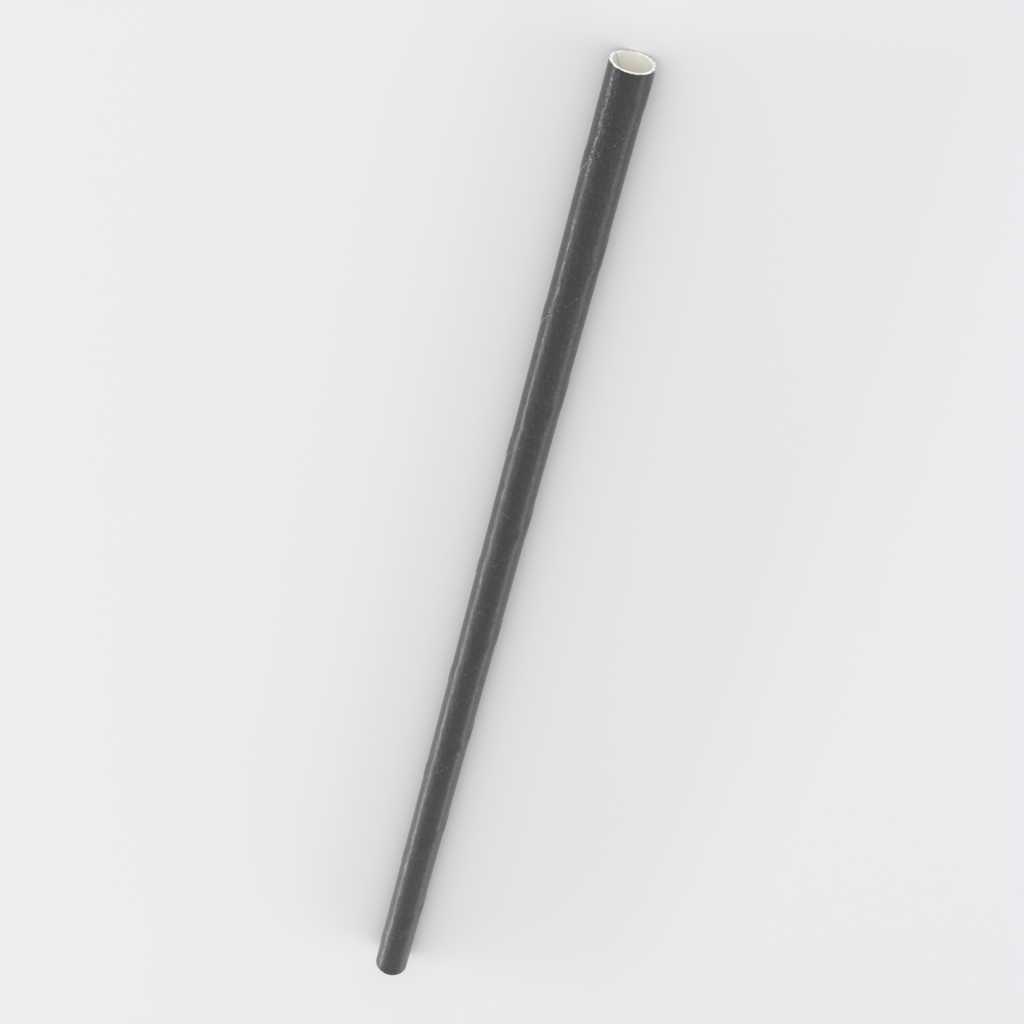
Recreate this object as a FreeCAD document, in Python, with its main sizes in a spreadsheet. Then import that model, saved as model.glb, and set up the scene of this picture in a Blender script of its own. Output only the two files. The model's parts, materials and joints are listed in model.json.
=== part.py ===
"""A spirally wound paper drinking straw, lying on its side.

Three strips of paper are wound round a mandrel, one over the other, and glued into one tube.
The inner and middle strips meet edge to edge. The printed outer strip laps over its own last
turn, which leaves a low ridge with one cut edge that climbs round the straw.
Each ply is made along Z, with the mouth at Z = 0 and the tail above it. The straw is then
laid along X, its mouth towards +X, with the ridge of the lap on the ground at Z = 0.
"""

import FreeCAD, Part
import os
import Sketcher

Vector = FreeCAD.Vector

# Name, value in millimetres or degrees, and what it is on the straw
DRIVING_SIZES = [
    ("straw_length", 197, "mouth to tail, cut square at both ends"),
    ("bore_diameter", 5.2, "the mandrel that the strips are wound on"),
    ("inner_paper", 0.16, "thickness of the inner strip"),
    ("middle_paper", 0.16, "thickness of the middle strip"),
    ("outer_paper", 0.08, "thickness of the printed outer strip"),
    ("winding_lead", 24.8, "advance along the straw in one turn of a strip"),
    ("butt_gap", 0.2, "gap between the edges of an inner or middle strip, along the straw"),
    ("lap_reach", 3.4, "how far the outer strip covers its last turn, along the straw"),
    ("lap_slope", 0.6, "length along the straw over which it climbs onto that turn"),
    ("inner_seam_angle", 119, "where the inner seam meets the mouth, round from the top"),
    ("middle_seam_angle", 343, "where the middle seam meets the mouth, round from the top"),
    ("outer_seam_angle", 199, "where the cut edge of the lap meets the mouth, from the top"),
    ("roll", 22.5, "how far the laid straw is rolled about its own axis, against its row"),
    ("cutter_margin", 0.05, "how far a cutter reaches past the paper that it cuts"),
]

# Name, formula, and what it is on the straw
WORKED_OUT_SIZES = [
    ("inner_radius", "=bore_diameter / 2", "wall of the bore"),
    ("middle_radius", "=inner_radius + inner_paper", "inner strip against middle strip"),
    ("outer_radius", "=middle_radius + middle_paper", "middle strip against outer strip"),
    ("barrel_radius", "=outer_radius + outer_paper", "outside of the straw"),
    ("ridge_radius", "=barrel_radius + outer_paper", "outside of the lap"),
    ("lap_root_radius", "=barrel_radius - outer_paper / 2", "where the lap is glued fast"),
    ("slope_to_root", "=lap_slope * (ridge_radius - lap_root_radius) / outer_paper",
     "the slope of the lap, carried down to its root"),
    ("winding_height", "=straw_length + 3 * winding_lead",
     "from two turns before the mouth to a turn past the tail"),
]


def make_size_sheet(doc):
    """Fill the spreadsheet that all sketches and features read their sizes from."""
    sheet = doc.addObject("Spreadsheet::Sheet", "Sizes")
    for row, (name, value, meaning) in enumerate(DRIVING_SIZES + WORKED_OUT_SIZES, start=1):
        sheet.set(f"A{row}", name)
        sheet.set(f"B{row}", str(value))
        sheet.set(f"C{row}", meaning)
        sheet.setAlias(f"B{row}", name)
    doc.recompute()


def origin_feature(body, role):
    """Find one of a body's own origin planes or axes by its role."""
    return next(feature for feature in body.Origin.OriginFeatures if feature.Role == role)


def new_sketch(body, name, plane):
    """Add an empty sketch on one of the body's own origin planes."""
    sketch = body.newObject("Sketcher::SketchObject", name)
    sketch.AttachmentSupport = [(origin_feature(body, plane), "")]
    sketch.MapMode = "FlatFace"
    return sketch


def add_circle(sketch, radius):
    """Draw a circle round the straw's axis. The radius is an expression."""
    guess = sketch.evalExpression(radius)
    circle = sketch.addGeometry(Part.Circle(Vector(0, 0, 0), Vector(0, 0, 1), guess))
    sketch.addConstraint(Sketcher.Constraint("Coincident", circle, 3, -1, 1))
    size = sketch.addConstraint(Sketcher.Constraint("Radius", circle, guess))
    sketch.setExpression(f"Constraints[{size}]", radius)


def add_section(sketch, corners):
    """Draw a closed outline beside the axis. A corner is two expressions, radius and height."""
    guesses = [[sketch.evalExpression(size) for size in corner] for corner in corners]
    for index, start in enumerate(guesses):
        end = guesses[(index + 1) % len(guesses)]
        sketch.addGeometry(Part.LineSegment(Vector(*start, 0), Vector(*end, 0)))
    for index, (radius, height) in enumerate(corners):
        following = (index + 1) % len(corners)
        sketch.addConstraint(Sketcher.Constraint("Coincident", index, 2, following, 1))
        out, along = guesses[index]
        out = sketch.addConstraint(Sketcher.Constraint("DistanceX", -1, 1, index, 1, out))
        along = sketch.addConstraint(Sketcher.Constraint("DistanceY", -1, 1, index, 1, along))
        sketch.setExpression(f"Constraints[{out}]", radius)
        sketch.setExpression(f"Constraints[{along}]", height)


def new_tube(doc, name, inside, outside):
    """Start a ply as a plain tube from the mouth to the tail, between two radii."""
    body = doc.addObject("PartDesign::Body", name)
    ring = new_sketch(body, f"{name}_ring", "XY_Plane")
    add_circle(ring, inside)
    add_circle(ring, outside)
    tube = body.newObject("PartDesign::Pad", f"{name}_tube")
    tube.Profile = ring
    tube.setExpression("Length", "Sizes.straw_length")
    return body


def wind(body, kind, name, corners):
    """Wind a section round the straw, from before the mouth to past the tail.

    The section is drawn at an angle of 0, which is the top of the laid straw, and it advances
    by one lead in each right-handed turn.
    """
    section = new_sketch(body, f"{name}_section", "XZ_Plane")
    add_section(section, corners)
    helix = body.newObject(f"PartDesign::{kind}", name)
    helix.Profile = section
    helix.ReferenceAxis = (origin_feature(body, "Z_Axis"), [""])
    helix.Mode = "pitch-height-angle"
    helix.setExpression("Pitch", "Sizes.winding_lead")
    helix.setExpression("Height", "Sizes.winding_height")


def seam_height(angle):
    """Give the starting height, at an angle of 0, of a seam that meets the mouth at this angle.

    It is one turn before the mouth, so that the winding starts outside the straw.
    """
    return f"-Sizes.winding_lead * (1 + {angle} / 360)"


def make_butted_ply(doc, name, inside, outside, angle):
    """Make a strip that is wound edge to edge, with a thin gap along its seam."""
    body = new_tube(doc, name, inside, outside)
    under = f"{inside} - Sizes.cutter_margin"
    over = f"{outside} + Sizes.cutter_margin"
    start = seam_height(angle)
    end = f"{start} + Sizes.butt_gap"
    corners = [(under, start), (over, start), (over, end), (under, end)]
    wind(body, "SubtractiveHelix", f"{name}_seam", corners)
    return body


def trim(body, name, height, towards_tail):
    """Cut the ply square at a height, and clear away what is past it."""
    disc = new_sketch(body, f"{name}_disc", "XY_Plane")
    disc.setExpression("AttachmentOffset.Base.z", height)
    add_circle(disc, "Sizes.ridge_radius + Sizes.cutter_margin")
    pocket = body.newObject("PartDesign::Pocket", name)
    pocket.Profile = disc
    pocket.Type = "ThroughAll"
    pocket.Reversed = towards_tail


def make_lapped_ply(doc, name, inside, outside, angle):
    """Make the strip that laps over its last turn.

    The cut edge stands square on the tail side of the lap. On the mouth side the strip
    slopes down onto the ply beneath.
    """
    body = new_tube(doc, name, inside, outside)
    root = "Sizes.lap_root_radius"
    ridge = "Sizes.ridge_radius"
    cut_edge = seam_height(angle)
    top_of_slope = f"{cut_edge} - Sizes.lap_reach"
    foot_of_slope = f"{top_of_slope} - Sizes.slope_to_root"
    corners = [(root, cut_edge), (ridge, cut_edge), (ridge, top_of_slope), (root, foot_of_slope)]
    wind(body, "AdditiveHelix", f"{name}_lap", corners)
    trim(body, f"{name}_mouth_cut", "0 mm", False)
    trim(body, f"{name}_tail_cut", "Sizes.straw_length", True)
    return body


def lay_down(body, roll):
    """Turn a ply from Z to X and lower it until the ridge of the lap touches the ground.

    It is also rolled about the straw's own axis, where it lies. The record's matrix from these
    files to the row rolls it back, which puts the seams at their angles from the top.
    """
    lying = FreeCAD.Rotation(Vector(0, 1, 0), -90)
    rolled = FreeCAD.Rotation(Vector(1, 0, 0), roll)
    body.Placement = FreeCAD.Placement(Vector(0, 0, 0), rolled * lying)
    body.setExpression("Placement.Base.x", "Sizes.straw_length / 2")
    body.setExpression("Placement.Base.z", "Sizes.ridge_radius")


def check_document(doc, plies):
    """Stop if a feature failed, or if a ply isn't one sound solid."""
    for thing in doc.Objects:
        if "Invalid" in thing.State or "Error" in thing.State:
            raise RuntimeError(f"{thing.Name} failed: {thing.State}")
    for ply in plies:
        if ply.Shape.isNull() or not ply.Shape.isValid() or len(ply.Shape.Solids) != 1:
            raise RuntimeError(f"{ply.Label} is not one sound solid")


def main():
    """Wind the three plies, lay the straw down and write one file for each ply."""
    doc = FreeCAD.newDocument("paper_straw")
    make_size_sheet(doc)
    inner_ply = make_butted_ply(
        doc, "inner_ply", "Sizes.inner_radius", "Sizes.middle_radius", "Sizes.inner_seam_angle"
    )
    middle_ply = make_butted_ply(
        doc, "middle_ply", "Sizes.middle_radius", "Sizes.outer_radius", "Sizes.middle_seam_angle"
    )
    outer_ply = make_lapped_ply(
        doc, "outer_ply", "Sizes.outer_radius", "Sizes.barrel_radius", "Sizes.outer_seam_angle"
    )
    plies = [inner_ply, middle_ply, outer_ply]
    for ply in plies:
        lay_down(ply, doc.Sizes.roll)
    doc.recompute()
    check_document(doc, plies)
    os.makedirs("parts", exist_ok=True)
    for ply in plies:
        ply.Shape.exportStep(f"parts/{ply.Label}.step")
        print(ply.Label, round(ply.Shape.Volume, 3), "mm3")


main()
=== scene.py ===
"""A black paper drinking straw, wound from three strips, on a pale studio floor.

Each strip is drawn as a flat section, wound into a tube with a Screw modifier and cut square
at both ends. The straw lies along X with its mouth at +X. Angles round the straw are counted
from its top, over the +Y side, as the seams run from the mouth towards the tail.
"""

from __future__ import annotations

import json
import logging
import math
import random
from dataclasses import dataclass
from enum import Enum

import bpy
import numpy as np
from mathutils import Matrix, Vector

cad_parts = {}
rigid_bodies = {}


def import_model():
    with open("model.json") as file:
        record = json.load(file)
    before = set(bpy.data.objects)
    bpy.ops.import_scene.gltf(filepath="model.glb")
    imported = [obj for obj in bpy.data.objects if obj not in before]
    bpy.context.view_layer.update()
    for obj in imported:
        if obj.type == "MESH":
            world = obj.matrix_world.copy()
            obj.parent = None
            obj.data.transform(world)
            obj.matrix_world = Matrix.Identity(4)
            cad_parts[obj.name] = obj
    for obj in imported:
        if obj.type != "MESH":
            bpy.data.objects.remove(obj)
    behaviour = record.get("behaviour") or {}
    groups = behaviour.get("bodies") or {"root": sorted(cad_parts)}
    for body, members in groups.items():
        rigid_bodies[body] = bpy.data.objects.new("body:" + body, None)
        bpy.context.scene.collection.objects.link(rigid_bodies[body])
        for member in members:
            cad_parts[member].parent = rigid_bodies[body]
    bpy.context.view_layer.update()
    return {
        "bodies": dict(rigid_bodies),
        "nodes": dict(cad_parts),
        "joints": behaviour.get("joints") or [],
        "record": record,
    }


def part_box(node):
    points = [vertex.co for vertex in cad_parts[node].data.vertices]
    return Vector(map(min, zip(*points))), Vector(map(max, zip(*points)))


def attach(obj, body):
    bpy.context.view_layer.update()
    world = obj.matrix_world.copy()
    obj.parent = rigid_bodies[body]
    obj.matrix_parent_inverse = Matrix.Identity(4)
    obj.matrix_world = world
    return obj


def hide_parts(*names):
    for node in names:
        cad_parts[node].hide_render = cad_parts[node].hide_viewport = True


LOG = logging.getLogger("paper_straw")
MM = 0.001
BODY = "root"
GLUE_LINE = 0.004 * MM
HAIR = MM / 1000


class Slot(Enum):
    """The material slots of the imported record."""

    BORE = "bore_paper"
    CORE = "core_paper"
    PRINT = "printed_paper"


class Side(Enum):
    """The two cut ends of the straw, as directions along X."""

    MOUTH = 1
    TAIL = -1


@dataclass(frozen=True)
class StrawSizes:
    """The straw's own sizes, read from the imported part, in metres."""

    length: float
    axis_height: float
    bore_radius: float
    middle_radius: float
    outer_radius: float
    barrel_radius: float
    ridge_radius: float
    print_thickness: float
    lead: float = 24.8 * MM
    butt_gap: float = 0.2 * MM
    lap_reach: float = 3.4 * MM
    lap_slope: float = 0.6 * MM
    inner_seam_angle: float = 119
    middle_seam_angle: float = 343
    outer_seam_angle: float = 199

    @classmethod
    def read(cls, record: dict) -> StrawSizes:
        """Take the radii and the length from the nodes' boxes and the round mounts.

        Args:
            record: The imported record.

        Returns:
            The sizes of this straw.
        """
        bore = next(mount for mount in record["mounts"] if mount["kind"] == "bore")
        low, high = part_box("outer_ply")
        outer_radius = cls.half_width("middle_ply")
        ridge_radius = cls.half_width("outer_ply")
        print_thickness = (ridge_radius - outer_radius) / 2
        return cls(
            length=high[0] - low[0],
            axis_height=(high[2] + low[2]) / 2,
            bore_radius=bore["dims"]["r_mm"] * MM,
            middle_radius=cls.half_width("inner_ply"),
            outer_radius=outer_radius,
            barrel_radius=outer_radius + print_thickness,
            ridge_radius=ridge_radius,
            print_thickness=print_thickness,
        )

    @staticmethod
    def half_width(node: str) -> float:
        """Give the outer radius of a round node that lies along X."""
        low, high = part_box(node)
        return round((high[2] - low[2]) / 2 / MM, 2) * MM

    def end(self, side: Side) -> float:
        """Give the X of a cut end."""
        return side.value * self.length / 2

    def on_barrel(self, along: float, angle: float, radius: float) -> Vector:
        """Find a point on or near the barrel.

        Args:
            along: Its X.
            angle: Its angle round the straw, in degrees from the top.
            radius: Its distance from the straw's axis.

        Returns:
            The point.
        """
        turn = math.radians(angle)
        height = self.axis_height + radius * math.cos(turn)
        return Vector((along, radius * math.sin(turn), height))


class Workshop:
    """Small modelling steps that every piece shares."""

    @staticmethod
    def clear_selection() -> None:
        """Deselect every object."""
        bpy.ops.object.select_all(action="DESELECT")

    @staticmethod
    def pick(piece: bpy.types.Object) -> None:
        """Select one object alone and make it active.

        Args:
            piece: The object to select.
        """
        Workshop.clear_selection()
        piece.select_set(True)
        bpy.context.view_layer.objects.active = piece

    @staticmethod
    def apply_modifier(piece: bpy.types.Object, name: str) -> None:
        """Apply one modifier of a piece."""
        Workshop.pick(piece)
        bpy.ops.object.modifier_apply(modifier=name)

    @staticmethod
    def draw_line(name: str, corners: list[tuple[float, float]]) -> bpy.types.Object:
        """Draw a line in the XZ plane by extruding a vertex from corner to corner.

        Args:
            name: The name of the new piece.
            corners: X and Z of each corner, in order along the line.

        Returns:
            An object that holds the line's edges.
        """
        Workshop.clear_selection()
        bpy.ops.mesh.primitive_plane_add(size=MM)
        piece = bpy.context.object
        piece.name = name
        piece.data.name = name
        bpy.ops.object.mode_set(mode="EDIT")
        bpy.ops.mesh.merge(type="CENTER")
        place = Vector((0, 0, 0))
        for number, corner in enumerate(corners):
            step = Vector((corner[0], 0, corner[1])) - place
            place += step
            if number == 0:
                bpy.ops.transform.translate(value=step)
            else:
                bpy.ops.mesh.extrude_region_move(TRANSFORM_OT_translate={"value": step})
        bpy.ops.object.mode_set(mode="OBJECT")
        return piece

    @staticmethod
    def cut(piece: bpy.types.Object, along: float, side: Side | None = None) -> None:
        """Cut a piece square to the straw.

        Args:
            piece: The piece to cut.
            along: The X of the cut.
            side: The end that falls away, or None to keep both and only add edges.
        """
        Workshop.pick(piece)
        bpy.ops.object.mode_set(mode="EDIT")
        bpy.ops.mesh.select_all(action="SELECT")
        bpy.ops.mesh.bisect(
            plane_co=(along, 0, 0),
            plane_no=(1, 0, 0),
            threshold=HAIR,
            clear_outer=side is Side.MOUTH,
            clear_inner=side is Side.TAIL,
        )
        bpy.ops.object.mode_set(mode="OBJECT")

    @staticmethod
    def turn_outward(piece: bpy.types.Object) -> None:
        """Turn the faces of a piece wound round the X axis away from the axis.

        Args:
            piece: The wound sheet, before it is lifted from that axis.
        """
        face = piece.data.polygons[0]
        if face.normal.dot(face.center - Vector((face.center.x, 0, 0))) < 0:
            Workshop.pick(piece)
            bpy.ops.object.mode_set(mode="EDIT")
            bpy.ops.mesh.select_all(action="SELECT")
            bpy.ops.mesh.flip_normals()
            bpy.ops.object.mode_set(mode="OBJECT")

    @staticmethod
    def hand_over(piece: bpy.types.Object, slot: Slot, node: str | None = None) -> None:
        """Fix a finished piece to the straw's body, hide the CAD node that it replaces and
        log its faces.

        Args:
            piece: The finished piece.
            slot: Not used.
            node: The CAD node that it replaces, if any.
        """
        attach(piece, BODY)
        if node:
            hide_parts(node)
        LOG.info("%s: %d faces", piece.name, len(piece.data.polygons))


@dataclass
class WoundStrip:
    """One strip of paper, wound into a ply and cut square at both ends."""

    straw: StrawSizes
    node: str
    slot: Slot
    outside: float
    thickness: float
    seam_angle: float
    columns: int
    faces: dict[Slot, bpy.types.Material]
    steps: int = 160
    rim_loops: tuple[float, ...] = (0.1 * MM, 0.35 * MM, 1.2 * MM)
    rim_roughness: float = 0.035 * MM
    rim_grain: float = 0.16 * MM
    parting: float = 0.12 * MM
    parting_length: float = 1.6 * MM
    parting_share: float = 0.5
    cloud_detail: int = 2
    facing: float = 0.5
    smooth_angle: float = 25

    def section(self) -> list[tuple[float, float]]:
        """Draw the strip's outer face in section.

        Returns:
            For each corner, its X from the strip's tail-side edge and its radius.
        """
        width = self.straw.lead - self.straw.butt_gap
        across = [width * number / self.columns for number in range(self.columns + 1)]
        return [(place, self.outside) for place in across]

    def turns_before(self) -> int:
        """Give how many leads before the mouth's own turn the winding starts."""
        return math.ceil((self.straw.length + 2 * self.straw.lead) / self.straw.lead) + 1

    def wind(self) -> bpy.types.Object:
        """Draw the section at the top of the straw and wind it along the whole length.

        Returns:
            The wound sheet, round the X axis.
        """
        piece = Workshop.draw_line(self.node.replace("_", "_paper_"), self.section())
        across = piece.data.attributes.new("across", "FLOAT", "POINT")
        across.data.foreach_set("value", [vertex.co.x for vertex in piece.data.vertices])
        start = self.straw.end(Side.MOUTH) + self.straw.lead * self.seam_angle / 360
        start -= self.turns_before() * self.straw.lead
        piece.data.transform(Matrix.Translation((start, 0, 0)))
        winding = piece.modifiers.new("winding", "SCREW")
        winding.axis = "X"
        winding.angle = math.tau
        winding.screw_offset = self.straw.lead
        winding.iterations = self.turns_before() + 1
        winding.steps = self.steps
        winding.render_steps = self.steps
        winding.use_normal_calculate = True
        Workshop.apply_modifier(piece, winding.name)
        Workshop.turn_outward(piece)
        return piece

    def thicken(self, piece: bpy.types.Object) -> None:
        """Give the wound sheet the thickness of its paper, inwards.

        Args:
            piece: The wound sheet.
        """
        paper = piece.modifiers.new("paper", "SOLIDIFY")
        paper.thickness = self.thickness
        paper.offset = -1
        Workshop.apply_modifier(piece, paper.name)

    def cut_ends(self, piece: bpy.types.Object) -> None:
        """Cut both ends square, and add edge loops close to them for the torn paper.

        Args:
            piece: The wound sheet.
        """
        for side in Side:
            Workshop.cut(piece, self.straw.end(side), side)
        for side in Side:
            for depth in self.rim_loops:
                Workshop.cut(piece, self.straw.end(side) - side.value * depth)

    def lay_down(self, piece: bpy.types.Object) -> None:
        """Lift the ply from its own axis to the height at which the straw lies."""
        piece.data.transform(Matrix.Translation((0, 0, self.straw.axis_height)))

    @staticmethod
    def group_vertices(piece: bpy.types.Object, name: str, chosen: np.ndarray) -> str:
        """Put the chosen vertices in a vertex group.

        Args:
            piece: The ply.
            name: The group's name.
            chosen: A mask over the piece's vertices.

        Returns:
            The group's name.
        """
        group = piece.vertex_groups.new(name=name)
        group.add(np.flatnonzero(chosen).tolist(), 1.0, "REPLACE")
        return group.name

    def displace(
        self,
        piece: bpy.types.Object,
        group: str,
        direction: str,
        depth: float,
        grain: float,
        share: float = 1.0,
    ) -> None:
        """Move a group of vertices by cloudy noise, only towards the negative direction.

        Args:
            piece: The ply.
            group: The vertex group that moves.
            direction: NORMAL, or the axis X.
            depth: The most that a vertex moves. A negative depth moves it the other way.
            grain: The size of the noise.
            share: The share of the noise's range, from its low end, that moves vertices.
        """
        clouds = bpy.data.textures.new(f"{self.node}_{group}", "CLOUDS")
        clouds.noise_scale = grain
        clouds.noise_depth = self.cloud_detail
        clouds.use_color_ramp = True
        for element, position in zip(clouds.color_ramp.elements, (0.0, share)):
            element.position = position
            element.alpha = 1
        rough = piece.modifiers.new(group, "DISPLACE")
        rough.texture = clouds
        rough.texture_coords = "LOCAL"
        rough.direction = direction
        rough.vertex_group = group
        rough.mid_level = 1.0
        rough.strength = depth
        Workshop.apply_modifier(piece, rough.name)

    def roughen(self, piece: bpy.types.Object) -> None:
        """Fray the cut rims, and part each ply a little from the next one in places.

        Args:
            piece: The ply, with both ends cut.
        """
        places = vertex_places(piece)
        radius = np.hypot(places[:, 1], places[:, 2] - self.straw.axis_height)
        middle = self.outside - self.thickness / 2
        for side in Side:
            name = side.name.lower()
            end_gap = self.straw.end(Side.MOUTH) - places[:, 0] * side.value
            rim = self.group_vertices(piece, f"{name}_cut", end_gap < self.rim_loops[0] / 2)
            depth = side.value * self.rim_roughness
            self.displace(piece, rim, "X", depth, self.rim_grain)
            if self.parting:
                lip = (end_gap < self.rim_loops[1] - HAIR) & (radius > middle)
                parted = self.group_vertices(piece, f"{name}_parting", lip)
                self.displace(
                    piece,
                    parted,
                    "NORMAL",
                    self.parting,
                    self.parting_length,
                    self.parting_share,
                )

    def unwrap(self, piece: bpy.types.Object) -> None:
        """Lay the strip out flat as a UV map in metres: along the strip, and across it.

        Args:
            piece: The ply, with the attribute that says how far across the strip a point is.
        """
        mesh = piece.data
        across = np.empty(len(mesh.vertices), np.float32)
        mesh.attributes["across"].data.foreach_get("value", across)
        turn_length = math.hypot(self.straw.lead, math.tau * self.outside)
        along = (vertex_places(piece)[:, 0] - across) * turn_length / self.straw.lead
        corners = np.empty(len(mesh.loops), np.int32)
        mesh.loops.foreach_get("vertex_index", corners)
        strip = mesh.uv_layers.new(name="strip")
        strip.data.foreach_set("uv", np.stack([along, across], 1)[corners].ravel())
        mesh.attributes.remove(mesh.attributes["across"])

    def dress(self, piece: bpy.types.Object) -> None:
        """Give each face its finish: the strip's own outside or inside, or bare paper.

        Args:
            piece: The finished ply.
        """
        for material in self.faces.values():
            piece.data.materials.append(material)
        order = list(self.faces)
        for polygon in piece.data.polygons:
            polygon.material_index = order.index(self.finish_of(polygon))

    def finish_of(self, polygon: bpy.types.MeshPolygon) -> Slot:
        """Give the finish of one face of this strip."""
        return self.slot

    def outward(self, polygon: bpy.types.MeshPolygon) -> float:
        """Give how far a face looks away from the straw's axis, from -1 to 1."""
        centre = polygon.center - Vector((polygon.center.x, 0, self.straw.axis_height))
        return polygon.normal.dot(centre.normalized())

    def build(self) -> None:
        """Make the whole ply and hand it over in place of its solid."""
        piece = self.wind()
        self.cut_ends(piece)
        self.thicken(piece)
        self.lay_down(piece)
        self.unwrap(piece)
        self.roughen(piece)
        self.dress(piece)
        Workshop.pick(piece)
        bpy.ops.object.shade_smooth_by_angle(angle=math.radians(self.smooth_angle))
        Workshop.hand_over(piece, self.slot, self.node)


@dataclass
class BoreStrip(WoundStrip):
    """The inner strip, whose inner face is the wall of the bore."""

    def finish_of(self, polygon: bpy.types.MeshPolygon) -> Slot:
        """Give the bore's finish to what looks inwards, and bare paper to the rest."""
        return Slot.BORE if self.outward(polygon) < -self.facing else Slot.CORE


@dataclass
class PrintedStrip(WoundStrip):
    """The outer strip, which laps over its own last turn and is printed on its outer face."""

    parting: float = 0.0
    dent_depth: float = 0.012 * MM
    dent_width: float = 0.35 * MM

    def section(self) -> list[tuple[float, float]]:
        """Draw the lapped section, from the cut edge on top of the lap to the covered edge.

        Returns:
            For each corner, its X from the cut edge and its radius.
        """
        straw = self.straw
        foot = straw.lap_reach + straw.lap_slope
        step = (straw.lead - straw.lap_slope) / self.columns
        line = [(place * straw.lap_reach, straw.ridge_radius) for place in (0.0, 0.5, 1.0)]
        line += [(foot + step * number, self.outside) for number in range(self.columns + 1)]
        return sorted(line + self.dent())

    def dent(self) -> list[tuple[float, float]]:
        """Draw the shallow dent where this strip sinks into the seam of the strip beneath.

        Returns:
            The dent's three corners, as in the section.
        """
        lag = (self.straw.middle_seam_angle - self.seam_angle) / 360 * self.straw.lead
        middle = lag % self.straw.lead - self.straw.butt_gap / 2
        edges = [(middle + half * self.dent_width / 2, self.outside) for half in (-1, 1)]
        return [edges[0], (middle, self.outside - self.dent_depth), edges[1]]

    def finish_of(self, polygon: bpy.types.MeshPolygon) -> Slot:
        """Give the print to what looks outwards, and bare paper to cuts and the underside."""
        return Slot.PRINT if self.outward(polygon) > self.facing else Slot.CORE


def vertex_places(piece: bpy.types.Object) -> np.ndarray:
    """Read the places of a piece's vertices.

    Args:
        piece: The piece.

    Returns:
        A row of X, Y and Z for each vertex.
    """
    places = np.empty(len(piece.data.vertices) * 3, np.float32)
    piece.data.vertices.foreach_get("co", places)
    return places.reshape(-1, 3)


@dataclass
class CutBurr:
    """The nubs of torn paper that the cutter leaves along the outer edge of one end."""

    straw: StrawSizes
    side: Side
    angles: tuple[float, ...]
    seed: int
    material: bpy.types.Material
    fineness: int = 3
    grain: float = 0.7
    ruffle: float = 0.5
    length_range: tuple[float, float] = (0.07 * MM, 0.15 * MM)
    height_range: tuple[float, float] = (0.035 * MM, 0.06 * MM)
    depth_range: tuple[float, float] = (0.04 * MM, 0.08 * MM)
    sunk: float = 0.008 * MM
    smooth_angle: float = 50

    def shape_nub(self) -> bpy.types.Object:
        """Model one ragged nub of unit size, from which the others are copied.

        Returns:
            The nub.
        """
        Workshop.clear_selection()
        bpy.ops.mesh.primitive_ico_sphere_add(subdivisions=self.fineness, radius=1)
        nub = bpy.context.object
        clouds = bpy.data.textures.new(f"{self.side.name.lower()}_nub", "CLOUDS")
        clouds.noise_scale = self.grain
        ragged = nub.modifiers.new("ragged", "DISPLACE")
        ragged.texture = clouds
        ragged.mid_level = 1.0
        ragged.strength = self.ruffle
        Workshop.apply_modifier(nub, ragged.name)
        return nub

    def place_nub(self, nub: bpy.types.Object, angle: float, draws: random.Random) -> None:
        """Size a nub and set it on the rim.

        Args:
            nub: A copy of the unit nub.
            angle: Where it sits, in degrees from the top of the straw.
            draws: The seeded draws for its size and its own turn.
        """
        half_length = draws.uniform(*self.length_range)
        half_height = draws.uniform(*self.height_range)
        half_depth = draws.uniform(*self.depth_range)
        turn = Matrix.Rotation(draws.uniform(0, math.tau), 4, "Z")
        size = Matrix.Diagonal((half_length, half_height, half_depth, 1))
        along = self.straw.end(self.side) - self.side.value * half_depth
        centre = self.straw.on_barrel(along, angle, self.straw.barrel_radius - self.sunk)
        outward = (centre - Vector((along, 0, self.straw.axis_height))).normalized()
        axis = Vector((1, 0, 0))
        frame = Matrix((outward.cross(axis), outward, axis)).transposed().to_4x4()
        nub.data.transform(Matrix.Translation(centre) @ frame @ size @ turn)

    def build(self) -> None:
        """Copy the nub to every angle and join the copies into one piece."""
        draws = random.Random(self.seed)
        nub = self.shape_nub()
        nubs = []
        for angle in self.angles:
            twin = nub.copy()
            twin.data = nub.data.copy()
            bpy.context.collection.objects.link(twin)
            self.place_nub(twin, angle, draws)
            nubs.append(twin)
        bpy.data.objects.remove(nub)
        Workshop.pick(nubs[0])
        for twin in nubs[1:]:
            twin.select_set(True)
        bpy.ops.object.join()
        burr = nubs[0]
        burr.name = f"{self.side.name.lower()}_burr"
        burr.data.name = burr.name
        burr.data.materials.append(self.material)
        bpy.ops.object.shade_smooth_by_angle(angle=math.radians(self.smooth_angle))
        Workshop.hand_over(burr, Slot.CORE)


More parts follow.
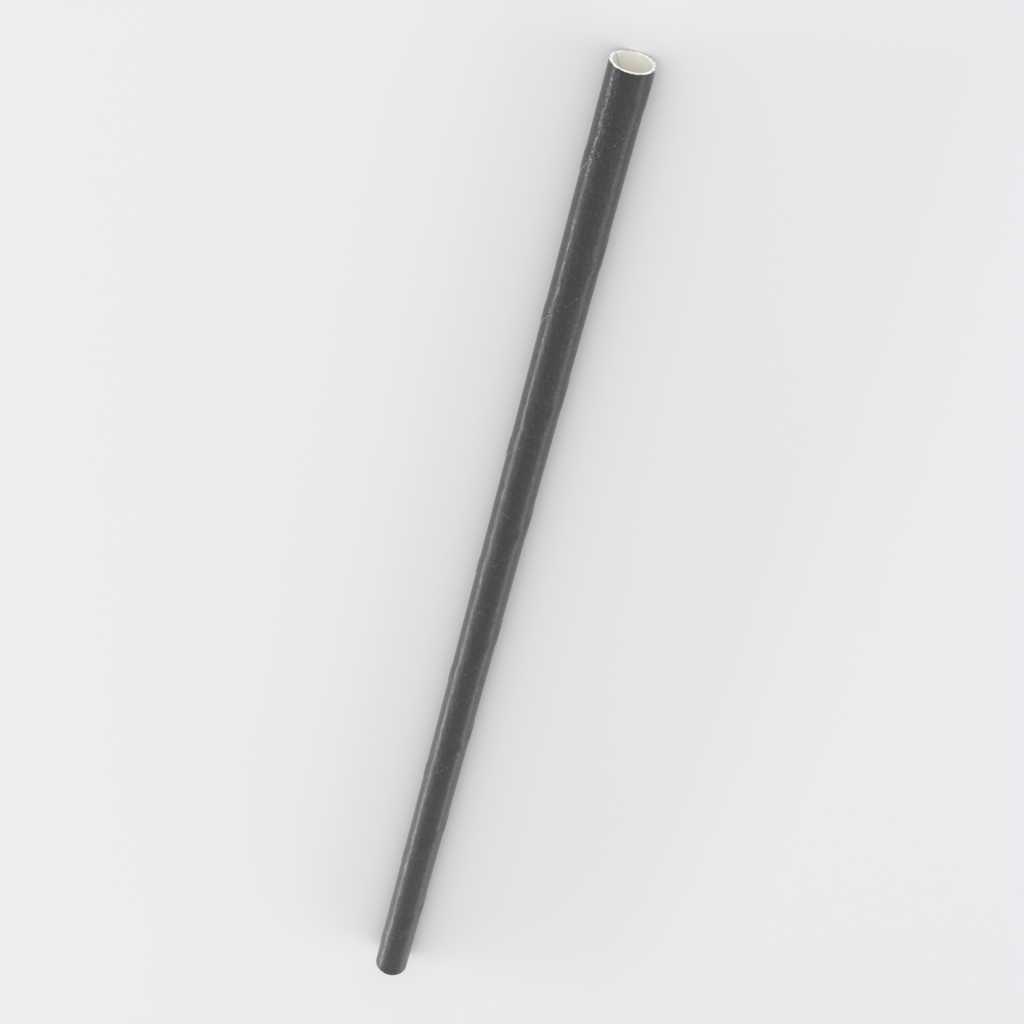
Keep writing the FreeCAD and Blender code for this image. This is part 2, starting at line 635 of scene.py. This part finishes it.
class Graph:
    """A node tree that is filled in with one call per node."""

    def __init__(self, tree: bpy.types.NodeTree) -> None:
        """Empty the tree that is to be filled in.

        Args:
            tree: The node tree of a material, a world or a group.
        """
        self.tree = tree
        tree.nodes.clear()

    @classmethod
    def shared(cls, name: str, vector: str, numbers: tuple[str, ...], result: str) -> Graph:
        """Start a node group that takes a vector and some numbers and gives one number.

        Args:
            name: The group's name.
            vector: The name of the vector input.
            numbers: The names of the number inputs.
            result: The name of the output.

        Returns:
            The group's graph.
        """
        tree = bpy.data.node_groups.new(name, "ShaderNodeTree")
        add_socket = tree.interface.new_socket
        add_socket(name=vector, in_out="INPUT", socket_type="NodeSocketVector")
        for number in numbers:
            add_socket(name=number, in_out="INPUT", socket_type="NodeSocketFloat")
        add_socket(name=result, in_out="OUTPUT", socket_type="NodeSocketFloat")
        return cls(tree)

    def node(
        self, kind: str, inputs: dict | None = None, **settings: object
    ) -> bpy.types.Node:
        """Add a node, set its properties, and set or link its inputs.

        Args:
            kind: The node's type.
            inputs: A value or a socket for each input, by name or number.
            settings: The node's properties.

        Returns:
            The new node.
        """
        node = self.tree.nodes.new(kind)
        for name, value in settings.items():
            setattr(node, name, value)
        for key, value in (inputs or {}).items():
            if isinstance(value, bpy.types.NodeSocket):
                self.tree.links.new(value, node.inputs[key])
            else:
                node.inputs[key].default_value = value
        return node

    def math(
        self, operation: str, *values: float | bpy.types.NodeSocket
    ) -> bpy.types.NodeSocket:
        """Add a Math node and give its result."""
        inputs = dict(enumerate(values))
        return self.node("ShaderNodeMath", inputs, operation=operation).outputs[0]

    def remap(
        self,
        value: bpy.types.NodeSocket,
        source: tuple[float, float],
        target: tuple[float, float] = (0, 1),
    ) -> bpy.types.NodeSocket:
        """Stretch a value from one range to another, clamped at the ends."""
        limits = {1: source[0], 2: source[1], 3: target[0], 4: target[1]}
        return self.node("ShaderNodeMapRange", {0: value, **limits}).outputs[0]

    def noise(
        self,
        vector: bpy.types.NodeSocket,
        scale: float | bpy.types.NodeSocket,
        detail: float = 2.0,
    ) -> bpy.types.NodeSocket:
        """Add a Noise texture and give its value."""
        inputs = {"Vector": vector, "Scale": scale, "Detail": detail}
        return self.node("ShaderNodeTexNoise", inputs).outputs[0]

    def mix(
        self,
        share: bpy.types.NodeSocket,
        first: tuple[float, float, float] | bpy.types.NodeSocket,
        second: tuple[float, float, float],
    ) -> bpy.types.NodeSocket:
        """Mix two colours.

        Args:
            share: How much of the second colour there is, from 0 to 1.
            first: The colour at 0, or a socket that gives it.
            second: The colour at 1.

        Returns:
            The mixed colour.
        """
        if not isinstance(first, bpy.types.NodeSocket):
            first = (*first, 1)
        inputs = {0: share, 6: first, 7: (*second, 1)}
        return self.node("ShaderNodeMix", inputs, data_type="RGBA").outputs[2]

    def bump(self, height: bpy.types.NodeSocket) -> bpy.types.NodeSocket:
        """Turn a height in millimetres into a normal."""
        inputs = {"Height": height, "Strength": 1.0, "Distance": MM}
        return self.node("ShaderNodeBump", inputs).outputs[0]

    def use(self, group: bpy.types.NodeTree, **inputs: object) -> bpy.types.NodeSocket:
        """Add a shared group and give its result."""
        return self.node("ShaderNodeGroup", inputs, node_tree=group).outputs[0]

    def give(self, value: bpy.types.NodeSocket) -> bpy.types.NodeTree:
        """Link a value to the group's output and give the finished group."""
        self.node("NodeGroupOutput", {0: value})
        return self.tree


@dataclass(frozen=True)
class PlainPaper:
    """How an unprinted paper looks."""

    name: str
    colour: tuple[float, float, float]
    shade: tuple[float, float, float]
    roughness: float
    grain_size: float
    grain_height: float


class Papers:
    """The materials of the straw's papers, and the effects that they share."""

    CUT_PAPER = PlainPaper(
        name="cut_white_paper",
        colour=(0.93, 0.93, 0.90),
        shade=(0.74, 0.74, 0.71),
        roughness=0.85,
        grain_size=0.12 * MM,
        grain_height=0.03,
    )
    BORE_PAPER = PlainPaper(
        name="cream_bore_paper",
        colour=(0.93, 0.915, 0.84),
        shade=(0.89, 0.875, 0.80),
        roughness=0.7,
        grain_size=0.35 * MM,
        grain_height=0.02,
    )
    INK = (0.028, 0.0285, 0.0305)
    WORN_INK = (0.045, 0.045, 0.047)
    BARE_PAPER = (0.62, 0.62, 0.60)
    INK_ROUGHNESS = (0.17, 0.28)
    INK_SPECULAR = 0.5
    PAPER_SPECULAR = 0.3
    GRAIN_SIZE = 0.26 * MM
    GRAIN_HEIGHT = 0.055
    COARSE_GRAIN_SCALE = 0.37
    COARSE_GRAIN_SHARE = 0.6
    LIGHT_GRAIN = (0.38, 0.6)
    WORN_GRAIN = (0.5, 0.68)
    ROUGH_GRAIN = (0.35, 0.65)
    FLUFF_SIZE = 0.2 * MM
    FLUFF_STRETCH = 2.6
    FLUFF_HEIGHT = 0.027
    FLUFF_RANGE = (0.5, 0.68)
    WAVE_SIZE = 3.2 * MM
    WAVE_HEIGHT = 0.028
    CHIP_SIZE = 0.4 * MM
    CHIP_RANGE = (0.5, 0.72)
    SEAM_CHIP_WIDTH = 0.06 * MM
    END_CHIP_WIDTH = 0.15 * MM
    # Painted shade: the colour and sizes of a broken dark line on the cut rims, standing in
    # for the shadow in the gap where two plies part.
    PLY_GAP_SHADE = (0.07, 0.07, 0.068)
    PLY_GAP_SHADE_SIZE = 0.7 * MM
    PLY_GAP_SHADE_RANGE = (0.45, 0.62)
    PLY_GAP_SHADE_WIDTH = 0.05 * MM
    SPECK_SPACING = 13 * MM
    SPECK_RADIUS = 0.075 * MM

    def __init__(self, straw: StrawSizes) -> None:
        """Make the shared effects and the three materials.

        Args:
            straw: The straw's sizes.
        """
        self.straw = straw
        self.grain = self.make_grain()
        self.chips = self.make_chips()
        self.specks = self.make_specks()
        # The painted shade of the gap between plies in the cut rims.
        self.gap_shade = self.make_gap_shade()
        self.core = self.make_plain(self.CUT_PAPER)
        self.bore = self.make_plain(self.BORE_PAPER)
        self.printed = self.make_printed()

    def make_grain(self) -> bpy.types.NodeTree:
        """Make the felted grain of paper, as a height from 0 to 1.

        Returns:
            A group that takes a place and the grain's size, and gives the height.
        """
        graph = Graph.shared("paper_grain", "Vector", ("Size",), "Height")
        inputs = graph.node("NodeGroupInput").outputs
        scale = graph.math("DIVIDE", 1.0, inputs["Size"])
        coarse_scale = graph.math("MULTIPLY", scale, self.COARSE_GRAIN_SCALE)
        fine = graph.noise(inputs["Vector"], scale, detail=3.0)
        fine = graph.math("MULTIPLY", fine, 1 - self.COARSE_GRAIN_SHARE)
        coarse = graph.noise(inputs["Vector"], coarse_scale, detail=2.0)
        return graph.give(graph.math("MULTIPLY_ADD", coarse, self.COARSE_GRAIN_SHARE, fine))

    def make_chips(self) -> bpy.types.NodeTree:
        """Make the ragged line where ink has chipped off along an edge.

        Returns:
            A group that takes a place, its distance from the edge and the widest chip, and
            gives a mask.
        """
        graph = Graph.shared("chipped_edge", "Vector", ("Distance", "Width"), "Mask")
        inputs = graph.node("NodeGroupInput").outputs
        ragged = graph.noise(inputs["Vector"], 1 / self.CHIP_SIZE, detail=4.0)
        ragged = graph.remap(ragged, self.CHIP_RANGE)
        reach = graph.math("MULTIPLY", inputs["Width"], ragged)
        return graph.give(graph.math("LESS_THAN", inputs["Distance"], reach))

    @staticmethod
    def make_specks() -> bpy.types.NodeTree:
        """Make sparse specks of dust, at most one in each cell of a flat pattern.

        Returns:
            A group that takes a place, the cells' spacing and the largest radius of a speck,
            and gives a mask.
        """
        graph = Graph.shared("dust_specks", "Vector", ("Spacing", "Radius"), "Mask")
        inputs = graph.node("NodeGroupInput").outputs
        scale = graph.math("DIVIDE", 1.0, inputs["Spacing"])
        cells = graph.node(
            "ShaderNodeTexVoronoi",
            {"Vector": inputs["Vector"], "Scale": scale},
            voronoi_dimensions="2D",
        )
        distance = graph.math("MULTIPLY", cells.outputs["Distance"], inputs["Spacing"])
        draw = graph.node("ShaderNodeSeparateColor", {0: cells.outputs["Color"]}).outputs[0]
        radius = graph.math("MULTIPLY", inputs["Radius"], draw)
        return graph.give(graph.math("LESS_THAN", distance, radius))

    def make_gap_shade(self) -> bpy.types.NodeTree:
        """Make a broken dark line of painted shade, the shadow in the gap where two plies
        part in a cut rim.

        Returns:
            A group that takes a place, the radius where the plies meet and the line's half
            width, and gives a mask.
        """
        graph = Graph.shared("painted_ply_gap_shade", "Vector", ("Radius", "Width"), "Mask")
        inputs = graph.node("NodeGroupInput").outputs
        section = graph.node(
            "ShaderNodeVectorMath",
            {0: inputs["Vector"], 1: (0, 1, 1), 2: (0, 0, -self.straw.axis_height)},
            operation="MULTIPLY_ADD",
        )
        radius = graph.node(
            "ShaderNodeVectorMath", {0: section.outputs[0]}, operation="LENGTH"
        ).outputs["Value"]
        off_joint = graph.math("SUBTRACT", radius, inputs["Radius"])
        broken = graph.noise(inputs["Vector"], 1 / self.PLY_GAP_SHADE_SIZE, detail=3.0)
        broken = graph.remap(broken, self.PLY_GAP_SHADE_RANGE)
        reach = graph.math("MULTIPLY", inputs["Width"], broken)
        return graph.give(graph.math("LESS_THAN", graph.math("ABSOLUTE", off_joint), reach))

    def make_plain(self, paper: PlainPaper) -> bpy.types.Material:
        """Make an unprinted paper.

        Args:
            paper: How it looks.

        Returns:
            The material.
        """
        material, graph = self.start(paper.name)
        place = graph.node("ShaderNodeTexCoord").outputs["Object"]
        grain = graph.use(self.grain, Vector=place, Size=paper.grain_size)
        plain = graph.mix(graph.remap(grain, self.LIGHT_GRAIN), paper.shade, paper.colour)
        # Painted shade: a broken dark line on the cut faces where the outer ply parts from
        # the middle one.
        gap_shade = graph.use(
            self.gap_shade,
            Vector=place,
            Radius=self.straw.outer_radius,
            Width=self.PLY_GAP_SHADE_WIDTH,
        )
        inputs = {
            "Base Color": graph.mix(gap_shade, plain, self.PLY_GAP_SHADE),
            "Roughness": paper.roughness,
            "Specular IOR Level": self.PAPER_SPECULAR,
            "Normal": graph.bump(graph.math("MULTIPLY", grain, paper.grain_height)),
        }
        self.finish(graph, inputs)
        return material

    def make_printed(self) -> bpy.types.Material:
        """Make the black printed paper, chipped at its cut edge and at the straw's ends.

        Returns:
            The material.
        """
        material, graph = self.start("black_printed_paper")
        place = graph.node("ShaderNodeTexCoord").outputs["Object"]
        strip = graph.node("ShaderNodeUVMap", uv_map="strip").outputs["UV"]
        across = graph.node("ShaderNodeSeparateXYZ", {0: strip}).outputs["Y"]
        along = graph.node("ShaderNodeSeparateXYZ", {0: place}).outputs["X"]
        to_middle = graph.math("ABSOLUTE", along)
        to_end = graph.math("SUBTRACT", self.straw.length / 2, to_middle)
        seam = graph.use(
            self.chips, Vector=place, Distance=across, Width=self.SEAM_CHIP_WIDTH
        )
        ends = graph.use(
            self.chips, Vector=place, Distance=to_end, Width=self.END_CHIP_WIDTH
        )
        specks = graph.use(
            self.specks, Vector=strip, Spacing=self.SPECK_SPACING, Radius=self.SPECK_RADIUS
        )
        bare = graph.math("MAXIMUM", graph.math("MAXIMUM", seam, ends), specks)
        fibres = graph.node(
            "ShaderNodeVectorMath",
            {0: strip, 1: (1 / self.FLUFF_STRETCH, 1, 1)},
            operation="MULTIPLY",
        )
        fluff = graph.noise(fibres.outputs[0], 1 / self.FLUFF_SIZE, detail=3.0)
        fluff = graph.remap(fluff, self.FLUFF_RANGE)
        grain = graph.use(self.grain, Vector=place, Size=self.GRAIN_SIZE)
        wave = graph.noise(place, 1 / self.WAVE_SIZE, detail=1.0)
        worn = graph.math("MAXIMUM", graph.remap(grain, self.WORN_GRAIN), fluff)
        ink = graph.mix(worn, self.INK, self.WORN_INK)
        height = graph.math("MULTIPLY", grain, self.GRAIN_HEIGHT)
        height = graph.math("MULTIPLY_ADD", wave, self.WAVE_HEIGHT, height)
        height = graph.math("MULTIPLY_ADD", fluff, self.FLUFF_HEIGHT, height)
        inputs = {
            "Base Color": graph.mix(bare, ink, self.BARE_PAPER),
            "Roughness": graph.remap(grain, self.ROUGH_GRAIN, self.INK_ROUGHNESS),
            "Specular IOR Level": self.INK_SPECULAR,
            "Normal": graph.bump(height),
        }
        self.finish(graph, inputs)
        return material

    @staticmethod
    def start(name: str) -> tuple[bpy.types.Material, Graph]:
        """Make an empty material.

        Args:
            name: The material's name.

        Returns:
            The material and the graph that fills it.
        """
        material = bpy.data.materials.new(name)
        material.use_nodes = True
        return material, Graph(material.node_tree)

    @staticmethod
    def finish(graph: Graph, inputs: dict) -> None:
        """Add the shader and the output."""
        shader = graph.node("ShaderNodeBsdfPrincipled", inputs)
        graph.node("ShaderNodeOutputMaterial", {"Surface": shader.outputs[0]})


@dataclass(frozen=True)
class Lamp:
    """A soft rectangular lamp: where it hangs, what it faces and how bright it looks."""

    name: str
    place: tuple[float, float, float]
    target: tuple[float, float, float]
    width: float
    height: float
    radiance: float


@dataclass
class Studio:
    """A pale floor, soft lamps and the camera."""

    straw: StrawSizes
    floor_size: float = 6
    floor_colour: tuple[float, float, float] = (0.78, 0.785, 0.80)
    floor_roughness: float = 0.9
    floor_specular: float = 0.2
    world_radiance: float = 0.72
    lamps: tuple[Lamp, ...] = (
        Lamp(
            name="overhead_softbox",
            place=(0.5, 0.3, 1.6),
            target=(0, 0, 0),
            width=1.0,
            height=1.0,
            radiance=1.2,
        ),
        Lamp(
            name="front_panel",
            place=(1.3, 0.1, 0.55),
            target=(0, 0, 0),
            width=1.3,
            height=1.0,
            radiance=1.75,
        ),
        Lamp(
            name="left_strip_lamp",
            place=(-0.47, 0.5, 0.07),
            target=(-0.47, 0, 0.07),
            width=0.95,
            height=0.03,
            radiance=30.0,
        ),
        Lamp(
            name="right_panel",
            place=(-0.5, -0.9, 0.2),
            target=(-0.5, 0, 0.1),
            width=1.6,
            height=0.4,
            radiance=2.1,
        ),
    )
    camera_distance: float = 240 * MM
    view_angle: float = 63
    lean: float = 15
    focal_pixels: float = 1865
    picture_pixels: int = 1024
    sensor: float = 36

    def build(self) -> None:
        """Build the floor, the light and the camera."""
        self.build_floor()
        self.build_world()
        for lamp in self.lamps:
            self.hang(lamp)
        self.build_camera()

    def build_floor(self) -> None:
        """Lay a large pale floor under the straw."""
        Workshop.clear_selection()
        bpy.ops.mesh.primitive_plane_add(size=self.floor_size)
        floor = bpy.context.object
        floor.name = "studio_floor"
        material, graph = Papers.start("pale_floor")
        inputs = {
            "Base Color": (*self.floor_colour, 1),
            "Roughness": self.floor_roughness,
            "Specular IOR Level": self.floor_specular,
        }
        Papers.finish(graph, inputs)
        floor.data.materials.append(material)

    def build_world(self) -> None:
        """Light the scene evenly from all round."""
        world = bpy.data.worlds.new("studio_light")
        world.use_nodes = True
        graph = Graph(world.node_tree)
        inputs = {"Color": (1, 1, 1, 1), "Strength": self.world_radiance}
        sky = graph.node("ShaderNodeBackground", inputs)
        graph.node("ShaderNodeOutputWorld", {"Surface": sky.outputs[0]})
        bpy.context.scene.world = world

    @staticmethod
    def hang(lamp: Lamp) -> None:
        """Hang one lamp and turn it to its target.

        Args:
            lamp: The lamp.
        """
        data = bpy.data.lights.new(lamp.name, "AREA")
        data.shape = "RECTANGLE"
        data.size = lamp.width
        data.size_y = lamp.height
        data.energy = lamp.radiance * math.pi * lamp.width * lamp.height
        light = bpy.data.objects.new(lamp.name, data)
        bpy.context.collection.objects.link(light)
        way = Vector(lamp.target) - Vector(lamp.place)
        light.location = lamp.place
        light.rotation_euler = way.to_track_quat("-Z", "Y").to_euler()

    def build_camera(self) -> None:
        """Look down past the mouth at the whole straw, at the photograph's viewing angle."""
        mouth = Vector((self.straw.end(Side.MOUTH), 0, self.straw.axis_height))
        tail = Vector((self.straw.end(Side.TAIL), 0, self.straw.axis_height))
        view = math.radians(self.view_angle)
        place = mouth + Vector((math.cos(view), 0, math.sin(view))) * self.camera_distance
        look = ((mouth - place).normalized() + (tail - place).normalized()).normalized()
        plain_right = Vector((0, -1, 0))
        plain_up = plain_right.cross(look)
        roll = math.radians(self.lean)
        up = plain_up * math.cos(roll) - plain_right * math.sin(roll)
        right = plain_right * math.cos(roll) + plain_up * math.sin(roll)
        data = bpy.data.cameras.new("camera")
        data.sensor_width = self.sensor
        data.lens = self.focal_pixels * self.sensor / self.picture_pixels
        data.clip_start = MM
        camera = bpy.data.objects.new("camera", data)
        bpy.context.collection.objects.link(camera)
        frame = Matrix((right, up, -look)).transposed().to_4x4()
        camera.matrix_world = Matrix.Translation(place) @ frame
        bpy.context.scene.camera = camera
        bpy.context.scene.view_settings.view_transform = "Standard"


def main() -> None:
    """Build the papers, the three strips, the torn edges and the studio."""
    logging.basicConfig(level=logging.INFO, format="%(name)s: %(message)s")
    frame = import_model()
    straw = StrawSizes.read(frame["record"])
    papers = Papers(straw)
    cut_faces = {Slot.CORE: papers.core}
    BoreStrip(
        straw=straw,
        node="inner_ply",
        slot=Slot.BORE,
        outside=straw.middle_radius,
        thickness=straw.middle_radius - straw.bore_radius,
        seam_angle=straw.inner_seam_angle,
        columns=12,
        faces={Slot.BORE: papers.bore, **cut_faces},
    ).build()
    WoundStrip(
        straw=straw,
        node="middle_ply",
        slot=Slot.CORE,
        outside=straw.outer_radius,
        thickness=straw.outer_radius - straw.middle_radius,
        seam_angle=straw.middle_seam_angle,
        columns=4,
        faces=cut_faces,
    ).build()
    PrintedStrip(
        straw=straw,
        node="outer_ply",
        slot=Slot.PRINT,
        outside=straw.barrel_radius,
        thickness=straw.print_thickness - GLUE_LINE,
        seam_angle=straw.outer_seam_angle,
        columns=12,
        faces={Slot.PRINT: papers.printed, **cut_faces},
    ).build()
    CutBurr(
        straw=straw,
        side=Side.MOUTH,
        angles=(343, 12, 58, 176, 188, 236, 291),
        seed=7,
        material=papers.core,
    ).build()
    CutBurr(
        straw=straw,
        side=Side.TAIL,
        angles=(24, 95, 151, 207, 266, 322),
        seed=11,
        material=papers.core,
    ).build()
    Studio(straw).build()


if __name__ == "__main__":
    main()
